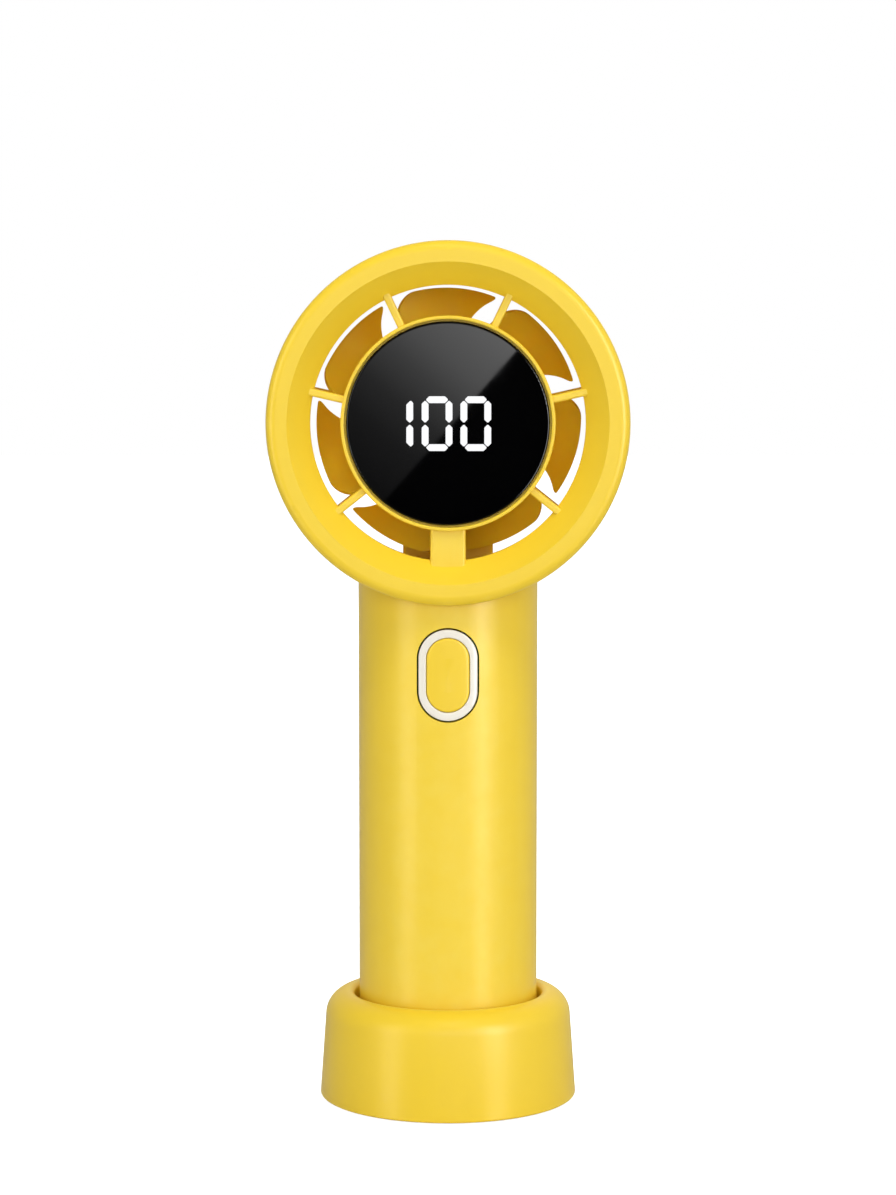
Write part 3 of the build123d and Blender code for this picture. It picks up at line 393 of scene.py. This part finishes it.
def oval(form, wide, tall, segments=72):
    """Loop of edges round a straight-sided oval, upright in X and Z, centred on the button."""
    made = bmesh.ops.create_circle(
        form, cap_ends=False, radius=wide / 2, segments=segments,
        matrix=Matrix.Translation((0, 0, button.z)) @ Matrix.Rotation(math.radians(90), 4, "X"),
    )["verts"]
    upper = [v for v in made if v.co.z > button.z + 1e-7]
    lower = [v for v in made if v.co.z < button.z - 1e-7]
    bmesh.ops.translate(form, verts=upper, vec=(0, 0, (tall - wide) / 2))
    bmesh.ops.translate(form, verts=lower, vec=(0, 0, -(tall - wide) / 2))
    return list({e for v in made for e in v.link_edges})


def wrap_on_grip(form, radius):
    """Moves each point back so that a flat front lies on the handle's curve."""
    for vert in form.verts:
        vert.co.y -= math.sqrt(radius**2 - vert.co.x**2)


collar = bmesh.new()
outer_rim = oval(collar, collar_wide, collar_tall)
inner_rim = oval(collar, opening_wide, opening_tall)
bmesh.ops.bridge_loops(collar, edges=outer_rim + inner_rim)
for rim, draft in ((outer_rim, 0.94), (inner_rim, 1.0)):
    back = bmesh.ops.extrude_edge_only(collar, edges=rim)
    hidden = [g for g in back["geom"] if isinstance(g, bmesh.types.BMVert)]
    bmesh.ops.translate(collar, verts=hidden, vec=(0, 2.4 * mm, 0))
    about_button = Matrix.Translation((0, 0, -button.z))
    bmesh.ops.scale(collar, verts=hidden, vec=(draft, 1, draft), space=about_button)
round_over(collar, outer_rim, 0.4 * mm, 5)
round_over(collar, inner_rim, 0.3 * mm, 4)
bmesh.ops.recalc_face_normals(collar, faces=collar.faces)
wrap_on_grip(collar, grip_radius + 0.15 * mm)
pearl_silver = moulded(
    "pearl_silver", (0.92, 0.88, 0.79), (0.88, 0.84, 0.74), (0.96, 0.95, 0.93), (0.4, 0.37, 0.32),
    gloss=(0.16, 0.24), grain=9000.0, relief=0.03,
)
pearl_silver.node_tree.nodes["Principled BSDF"].inputs["Coat Weight"].default_value = 0.6
pearl_silver.node_tree.nodes["Principled BSDF"].inputs["Coat Roughness"].default_value = 0.08
finish_piece(collar, "button_collar", pearl_silver, "fan_body", "silver_trim", "button_bezel")

cap = bmesh.new()
cap_rim = oval(cap, 9.56 * mm, 16.46 * mm)
face = bmesh.ops.contextual_create(cap, geom=cap_rim)["faces"]
back = bmesh.ops.extrude_edge_only(cap, edges=cap_rim)
skirt = [g for g in back["geom"] if isinstance(g, bmesh.types.BMVert)]
bmesh.ops.translate(cap, verts=skirt, vec=(0, 2.6 * mm, 0))
for ring in range(7):
    bmesh.ops.inset_region(cap, faces=face, thickness=0.6 * mm, use_even_offset=True)
crown = [v for v in cap.verts if v.co.y < 1e-7]
for vert in crown:
    reach = max(0.0, 1 - (vert.co.x / (4.78 * mm)) ** 2)
    vert.co.y += 0.12 * mm * (1 - reach)
round_over(cap, [e for e in cap.edges if e.calc_face_angle(0) > math.radians(60)], 0.4 * mm, 4)
bmesh.ops.recalc_face_normals(cap, faces=cap.faces)
wrap_on_grip(cap, grip_radius + 0.22 * mm)
finish_piece(cap, "button_top", shell_yellow, "power_button", "yellow_shell", "button_cap")

# ============================================================ front ring
# Lip and funnel are one yellow moulding. The hub cup on its wide strut and six thin spokes are
# welded into it, and four long screws from the rear grille clamp the whole to the housing.
dress(shell_yellow, "front_ring", "hub_cup", "front_spokes", "strut_cover")
dress(shell_yellow, "rear_grille", "rear_hub", "rear_spokes")
hub_height = ((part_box("impeller")[0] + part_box("impeller")[1]) / 2).z
clamp_circle, clamp_face = 34.9 * mm, 15.88 * mm
clamp_angles = [math.radians(a) for a in (45, 135, 225, 315)]
clamp_spots = [
    (clamp_circle * math.cos(a), clamp_face, hub_height + clamp_circle * math.sin(a)) for a in clamp_angles
]
screws(
    "clamp_screws", clamp_spots, (0, 1, 0), 1.85 * mm, 1.28 * mm, 0.97 * mm, 27.8 * mm, "fan_body",
    "head_screws",
)

# ============================================================ impeller
# Seven forward-leaning blades stand on a shallow cup pressed over the rotor. They are moulded
# together in yellow nylon, a little warmer and less glossy than the shells.
# The last colour, a deep orange, is painted shade for the hollows.
fan_yellow = moulded(
    "fan_yellow", (0.97, 0.67, 0.03), (0.95, 0.64, 0.026), (0.97, 0.78, 0.12), (0.62, 0.36, 0.02),
    gloss=(0.34, 0.46),
)
nylon = fan_yellow.node_tree.nodes["Principled BSDF"]
nylon.inputs["Subsurface Weight"].default_value = 0.45
nylon.inputs["Subsurface Radius"].default_value = (1.0, 0.62, 0.08)
nylon.inputs["Subsurface Scale"].default_value = 1.6 * mm
blade_root, blade_tip = 22.4 * mm, 30.0 * mm
hub_point = (0, 0, hub_height)
drum = turned(
    [(r * mm, -h * mm, hub_height) for r, h in (
        (3.6, -9.0), (23.2, -9.0), (23.2, 8.2), (22.0, 8.2), (22.0, -7.5), (15.2, -7.5), (15.2, 3.0),
        (13.95, 3.0), (13.95, -7.5), (3.6, -7.5))],
    (0, 1, 0), hub_point, 168,
)


def from_axis(vert):
    """Distance of a point from the fan's axis."""
    return math.hypot(vert.co.x, vert.co.z - hub_height)


round_over(drum, edges_where(drum, lambda v: v.co.y > 0.0089 and from_axis(v) > 0.023), 1.6 * mm, 8)
round_over(drum, edges_where(drum, lambda v: v.co.y < -0.0081), 0.35 * mm, 3)

blade = bmesh.new()
bmesh.ops.create_grid(blade, x_segments=36, y_segments=18, size=1)
for vert in blade.verts:
    along, outward = (vert.co.x + 1) / 2, (vert.co.y + 1) / 2
    radius = blade_root + (blade_tip - blade_root) * math.sin(outward * math.pi / 2)
    rise = (radius - blade_root) / (blade_tip - blade_root)
    tip_gap = blade_tip - radius
    front_round, rear_round = 4.2 * mm, 1.5 * mm
    front_cut = front_round - math.sqrt(max(0, front_round**2 - max(0, front_round - tip_gap) ** 2))
    rear_cut = rear_round - math.sqrt(max(0, rear_round**2 - max(0, rear_round - tip_gap) ** 2))
    front_edge = math.radians(117.3 - 6.1 * rise) - front_cut / radius
    rear_edge = math.radians(78.5 - 8.2 * rise - 3.6 * rise**3) + rear_cut / radius
    angle = front_edge + (rear_edge - front_edge) * along
    x, height = radius * math.cos(angle), radius * math.sin(angle)
    share = (height - 19 * mm) / (15 * mm)
    lean = x / (13.5 * mm)
    vert.co = (x, (9.6 - 2.4 * share) * mm * lean + 1.3 * mm * (1 - lean**2), hub_height + height)
bmesh.ops.recalc_face_normals(blade, faces=blade.faces)
bmesh.ops.solidify(blade, geom=blade.faces[:], thickness=1.15 * mm)
bmesh.ops.recalc_face_normals(blade, faces=blade.faces)
round_over(blade, [e for e in blade.edges if e.calc_face_angle(0) > math.radians(50)], 0.42 * mm, 4)
blade_count = 7
bmesh.ops.spin(
    blade, geom=blade.verts[:] + blade.edges[:] + blade.faces[:], cent=hub_point, axis=(0, -1, 0),
    angle=math.tau * (blade_count - 1) / blade_count, steps=blade_count - 1, use_duplicate=True,
)
blade_mesh = bpy.data.meshes.new("blade_set")
blade.to_mesh(blade_mesh)
blade.free()
drum.from_mesh(blade_mesh)
bpy.data.meshes.remove(blade_mesh)
finish_piece(drum, "fan_wheel", fan_yellow, "impeller", "fan_yellow", "impeller", smooth=50)

# ============================================================ display
# A disc of black acrylic with a polished front sits in the hub cup. The digits are diffuser bars
# lit from behind, flush with the front, and show 100.
glass_black = moulded(
    "glass_black", (0.0005, 0.0005, 0.0007), (0.0009, 0.0009, 0.0011), (0.004, 0.004, 0.004),
    (0.0003, 0.0003, 0.0003),
    gloss=(0.012, 0.03), grain=900.0, relief=0.0, wear=0.2,
)
dress(glass_black, "display_cover")
lit_white = moulded(
    "lit_white", (0.1, 0.1, 0.105), (0.12, 0.12, 0.12), (0.14, 0.14, 0.14), (0.08, 0.08, 0.08),
    relief=0.0, wear=0.0,
)
glow = lit_white.node_tree.nodes["Principled BSDF"]
glow.inputs["Emission Color"].default_value = (0.97, 0.98, 1.0, 1)
glow.inputs["Emission Strength"].default_value = 0.9
dress(lit_white, "display_segments", "display_leds")
chalk_white = moulded(
    "chalk_white", (0.8, 0.8, 0.78), (0.76, 0.76, 0.74), (0.88, 0.88, 0.87), (0.5, 0.5, 0.48),
    gloss=(0.5, 0.65),
)
dress(chalk_white, "display_reflector")

# ============================================================ circuit boards
# Green solder mask over copper tracks, with the parts soldered on the front of the main board.
board_green = moulded(
    "board_green", (0.012, 0.13, 0.05), (0.01, 0.11, 0.042), (0.1, 0.22, 0.12), (0.005, 0.05, 0.02),
    gloss=(0.22, 0.34), relief=0.02,
)
tree = board_green.node_tree
tracks = add_node(
    tree, "ShaderNodeTexBrick", Scale=420.0, Color1=(0.012, 0.13, 0.05, 1), Color2=(0.02, 0.2, 0.08, 1),
    Mortar=(0.03, 0.26, 0.1, 1),
)
turn = add_node(tree, "ShaderNodeMapping", Rotation=(math.radians(90), 0, 0))
tree.links.new(tree.nodes["Texture Coordinate"].outputs["Object"], turn.inputs["Vector"])
tree.links.new(turn.outputs["Vector"], tracks.inputs["Vector"])
tree.links.new(tracks.outputs["Color"], tree.nodes["Mix"].inputs["A"])
dress(board_green, "main_board", "display_board", "charge_board")
dark_resin = moulded(
    "dark_resin", (0.02, 0.02, 0.022), (0.028, 0.028, 0.03), (0.08, 0.08, 0.08), (0.008, 0.008, 0.008),
    gloss=(0.4, 0.6), relief=0.2,
)
dress(dark_resin, "board_chips", "tact_switch", "switch_plunger", "battery_cradle")
dress(zinc, "board_screws", "display_screws", "motor_screws")

# ============================================================ cables
# A flat amber film cable serves the display. Three silicone leads feed the motor.
film_amber = moulded(
    "film_amber", (0.42, 0.17, 0.015), (0.36, 0.14, 0.012), (0.6, 0.3, 0.06), (0.2, 0.08, 0.01),
    gloss=(0.18, 0.3),
)
tree = film_amber.node_tree
strands = add_node(tree, "ShaderNodeTexWave", bands_direction="X", Scale=500.0)
tree.links.new(tree.nodes["Texture Coordinate"].outputs["Object"], strands.inputs["Vector"])
tree.links.new(strands.outputs["Fac"], tree.nodes["Mix"].inputs["Factor"])
dress(film_amber, "display_cable")
lead_sleeve = moulded(
    "lead_sleeve", (0.02, 0.02, 0.022), (0.035, 0.035, 0.036), (0.07, 0.07, 0.07), (0.01, 0.01, 0.01),
    gloss=(0.5, 0.62),
)
dress(lead_sleeve, "motor_leads")

# ============================================================ motor
# An outrunner: a laminated core with nine enamelled coils on a turned aluminium bracket, inside a
# pressed steel bell lined with magnets.
turned_aluminium = metal("turned_aluminium", (0.75, 0.76, 0.78), (0.6, 0.61, 0.63), lines=(60, 1400, 60))
dress(turned_aluminium, "motor_bracket")
bell_steel = metal(
    "bell_steel", (0.56, 0.57, 0.59), (0.4, 0.41, 0.43), lines=(60, 1100, 60), gloss=(0.2, 0.36),
)
dress(bell_steel, "rotor_bell", "motor_bearings", "motor_shaft", "shaft_clip")
core_steel = metal(
    "core_laminations", (0.16, 0.16, 0.17), (0.09, 0.09, 0.1), lines=(10, 2600, 10),
    gloss=(0.4, 0.6), relief=0.6,
)
dress(core_steel, "stator_core")
magnet_grey = metal(
    "magnet_nickel", (0.3, 0.3, 0.32), (0.2, 0.2, 0.21), lines=(300, 300, 300), gloss=(0.3, 0.5),
)
dress(magnet_grey, "rotor_magnets")
coil_copper = metal(
    "coil_copper", (0.78, 0.3, 0.12), (0.55, 0.18, 0.07), lines=(40, 3200, 40),
    gloss=(0.18, 0.34), relief=0.7,
)
dress(coil_copper, "stator_windings", "battery_tabs")

# ============================================================ battery
# One 21700 cell in a blue shrink sleeve, held by a slotted cradle, with nickel tabs to the board.
sleeve_blue = moulded(
    "sleeve_blue", (0.02, 0.12, 0.36), (0.018, 0.105, 0.33), (0.1, 0.25, 0.5), (0.01, 0.05, 0.16),
    gloss=(0.14, 0.26), grain=700.0, relief=0.1,
)
dress(sleeve_blue, "battery_cell")

# ============================================================ charging socket
# The drawn steel shell of the socket shows in its slot low on the back, round a tongue that
# carries gold-plated contacts.
dress(zinc, "usb_port")
contact_tongue = moulded(
    "contact_tongue", (0.02, 0.02, 0.022), (0.6, 0.42, 0.12), (0.08, 0.08, 0.08), (0.01, 0.01, 0.01),
    gloss=(0.25, 0.4),
)
tree = contact_tongue.node_tree
pins = add_node(tree, "ShaderNodeTexWave", bands_direction="X", Scale=310.0)
comb = add_node(tree, "ShaderNodeMapRange", From_Min=0.55, From_Max=0.6)
tree.links.new(tree.nodes["Texture Coordinate"].outputs["Object"], pins.inputs["Vector"])
tree.links.new(pins.outputs["Fac"], comb.inputs["Value"])
tree.links.new(comb.outputs["Result"], tree.nodes["Mix"].inputs["Factor"])
dress(contact_tongue, "usb_tongue")

# ============================================================ floor, light and camera
# A plain white floor in a soft white room. One softbox stands high in front and one at each side.
bpy.ops.mesh.primitive_plane_add(size=8)
floor = bpy.context.object
floor.name = "floor"
floor_white = bpy.data.materials.new("floor_white")
floor_white.use_nodes = True
tree = floor_white.node_tree
shader = tree.nodes["Principled BSDF"]
seen = add_node(tree, "ShaderNodeLightPath")
floor_tone = add_node(tree, "ShaderNodeMix", data_type="RGBA")
floor_tone.inputs["A"].default_value = (0.72, 0.72, 0.72, 1)
floor_tone.inputs["B"].default_value = (0.93, 0.93, 0.93, 1)
tree.links.new(seen.outputs["Is Camera Ray"], floor_tone.inputs["Factor"])
tree.links.new(floor_tone.outputs["Result"], shader.inputs["Base Color"])
shader.inputs["Roughness"].default_value = 0.9
shader.inputs["Specular IOR Level"].default_value = 0.0
shader.inputs["Emission Color"].default_value = (1, 1, 1, 1)
lift = add_node(tree, "ShaderNodeMath", operation="MULTIPLY")
lift.inputs[1].default_value = 0.8
tree.links.new(seen.outputs["Is Camera Ray"], lift.inputs[0])
tree.links.new(lift.outputs["Value"], shader.inputs["Emission Strength"])
floor.data.materials.append(floor_white)
floor.visible_glossy = False

# The room is white to the eye, an even fill on the fan, and dim in its reflections.
scene = bpy.context.scene
scene.view_settings.view_transform = "Standard"
world = bpy.data.worlds.new("white_room")
world.use_nodes = True
scene.world = world
tree = world.node_tree
tree.nodes["Background"].inputs["Strength"].default_value = 1.0
seen = add_node(tree, "ShaderNodeLightPath")
direction = add_node(tree, "ShaderNodeTexCoord")
slope = add_node(tree, "ShaderNodeVectorMath", operation="DOT_PRODUCT")
slope.inputs[1].default_value = (0.24, -0.16, -0.42)
tree.links.new(direction.outputs["Generated"], slope.inputs[0])
level = add_node(tree, "ShaderNodeMath", operation="ADD")
level.inputs[1].default_value = 0.77
tree.links.new(slope.outputs["Value"], level.inputs[0])
parts = add_node(tree, "ShaderNodeSeparateXYZ")
tree.links.new(direction.outputs["Generated"], parts.inputs["Vector"])
mirrored = add_node(tree, "ShaderNodeMath", operation="MULTIPLY_ADD")
mirrored.inputs[1].default_value = 0.25
mirrored.inputs[2].default_value = 0.26
tree.links.new(parts.outputs["Y"], mirrored.inputs[0])
fill = add_node(tree, "ShaderNodeMix", data_type="RGBA")
tree.links.new(level.outputs["Value"], fill.inputs["A"])
tree.links.new(mirrored.outputs["Value"], fill.inputs["B"])
tree.links.new(seen.outputs["Is Glossy Ray"], fill.inputs["Factor"])
room = add_node(tree, "ShaderNodeMix", data_type="RGBA")
room.inputs["B"].default_value = (1, 1, 1, 1)
tree.links.new(fill.outputs["Result"], room.inputs["A"])
tree.links.new(seen.outputs["Is Camera Ray"], room.inputs["Factor"])
tree.links.new(room.outputs["Result"], tree.nodes["Background"].inputs["Color"])


def softbox(name, place, aim, width, height, power):
    """Rectangular area light that looks at a point."""
    lamp = bpy.data.lights.new(name, "AREA")
    lamp.shape = "RECTANGLE"
    lamp.size = width
    lamp.size_y = height
    lamp.energy = power
    holder = bpy.data.objects.new(name, lamp)
    scene.collection.objects.link(holder)
    holder.location = place
    holder.rotation_euler = (Vector(aim) - Vector(place)).to_track_quat("-Z", "Y").to_euler()
    return holder


for name, place, wide, tall, power in (
    ("light_front", (0.05, -1.0, 0.33), 0.6, 0.5, 2.6),
    ("light_top", (0.0, -0.52, 1.09), 0.35, 0.35, 4.3),
    ("light_back", (0.1, 1.1, 0.6), 0.7, 0.7, 4.5),
):
    softbox(name, place, (0, 0, 0.12), wide, tall, power).visible_glossy = False
for name, place, wide, power in (
    ("strip_right", (0.66, -0.68, 0.1), 0.3, 9.0),
    ("strip_left", (-0.75, -0.57, 0.1), 0.25, 3.6),
):
    strip = softbox(name, place, (0, 0, 0.1), wide, 1.2, power)
    strip.visible_diffuse = False

# A slanted reflector card stands behind the viewer. Only polished faces see it: the display
# mirrors its edge as a diagonal line, bright at the upper right and dark below.
card_centre = Vector((0, -1.2, 0.124))
card_form = bmesh.new()
bmesh.ops.create_grid(card_form, x_segments=1, y_segments=1, size=0.068,
                      matrix=Matrix.Translation(card_centre) @ Matrix.Rotation(math.radians(90), 4, "X"))
card_mesh = bpy.data.meshes.new("reflector_card")
card_form.to_mesh(card_mesh)
card_form.free()
card = bpy.data.objects.new("reflector_card", card_mesh)
scene.collection.objects.link(card)
card_face = bpy.data.materials.new("card_face")
card_face.use_nodes = True
tree = card_face.node_tree
tree.nodes.clear()
place = add_node(tree, "ShaderNodeTexCoord")
middle = add_node(tree, "ShaderNodeVectorMath", operation="SUBTRACT")
middle.inputs[1].default_value = card_centre
tree.links.new(place.outputs["Object"], middle.inputs[0])
across = add_node(tree, "ShaderNodeVectorMath", operation="DOT_PRODUCT")
across.inputs[1].default_value = (-0.751, 0, 0.66)
along = add_node(tree, "ShaderNodeVectorMath", operation="DOT_PRODUCT")
along.inputs[1].default_value = (0.66, 0, 0.751)
tree.links.new(middle.outputs["Vector"], across.inputs[0])
tree.links.new(middle.outputs["Vector"], along.inputs[0])
side = add_node(tree, "ShaderNodeMapRange", From_Min=-0.0022, From_Max=-0.0018)
tree.links.new(across.outputs["Value"], side.inputs["Value"])
reach = add_node(tree, "ShaderNodeMapRange", From_Min=-0.062, From_Max=0.062)
tree.links.new(along.outputs["Value"], reach.inputs["Value"])
fade = add_node(tree, "ShaderNodeValToRGB")
stops = ((0.0, 0.033), (0.25, 0.075), (0.42, 0.154), (0.6, 0.357), (0.75, 0.607), (1.0, 0.9))
for position, _ in stops[1:-1]:
    fade.color_ramp.elements.new(position)
for stop, (position, glow) in zip(fade.color_ramp.elements, stops):
    stop.position = position
    stop.color = (glow, glow, glow, 1)
tree.links.new(reach.outputs["Result"], fade.inputs["Fac"])
shine = add_node(tree, "ShaderNodeMath", operation="MULTIPLY")
tree.links.new(fade.outputs["Color"], shine.inputs[0])
tree.links.new(side.outputs["Result"], shine.inputs[1])
bright = add_node(tree, "ShaderNodeMath", operation="MULTIPLY")
bright.inputs[1].default_value = 3.0
tree.links.new(shine.outputs["Value"], bright.inputs[0])
card_glow = add_node(tree, "ShaderNodeEmission")
tree.links.new(bright.outputs["Value"], card_glow.inputs["Strength"])
card_out = add_node(tree, "ShaderNodeOutputMaterial")
tree.links.new(card_glow.outputs["Emission"], card_out.inputs["Surface"])
card_mesh.materials.append(card_face)
card.visible_camera = False
card.visible_diffuse = False
card.visible_shadow = False
card.visible_transmission = False

# The lens gives a flat view of the front, from a little above the display.
eye = bpy.data.cameras.new("camera")
eye.lens = 89.17
eye.sensor_width = 36
camera = bpy.data.objects.new("camera", eye)
scene.collection.objects.link(camera)
camera.location = (0.0, -0.671, 0.1713)
camera.rotation_euler = (math.radians(90 - 4.84), 0, 0)
scene.camera = camera
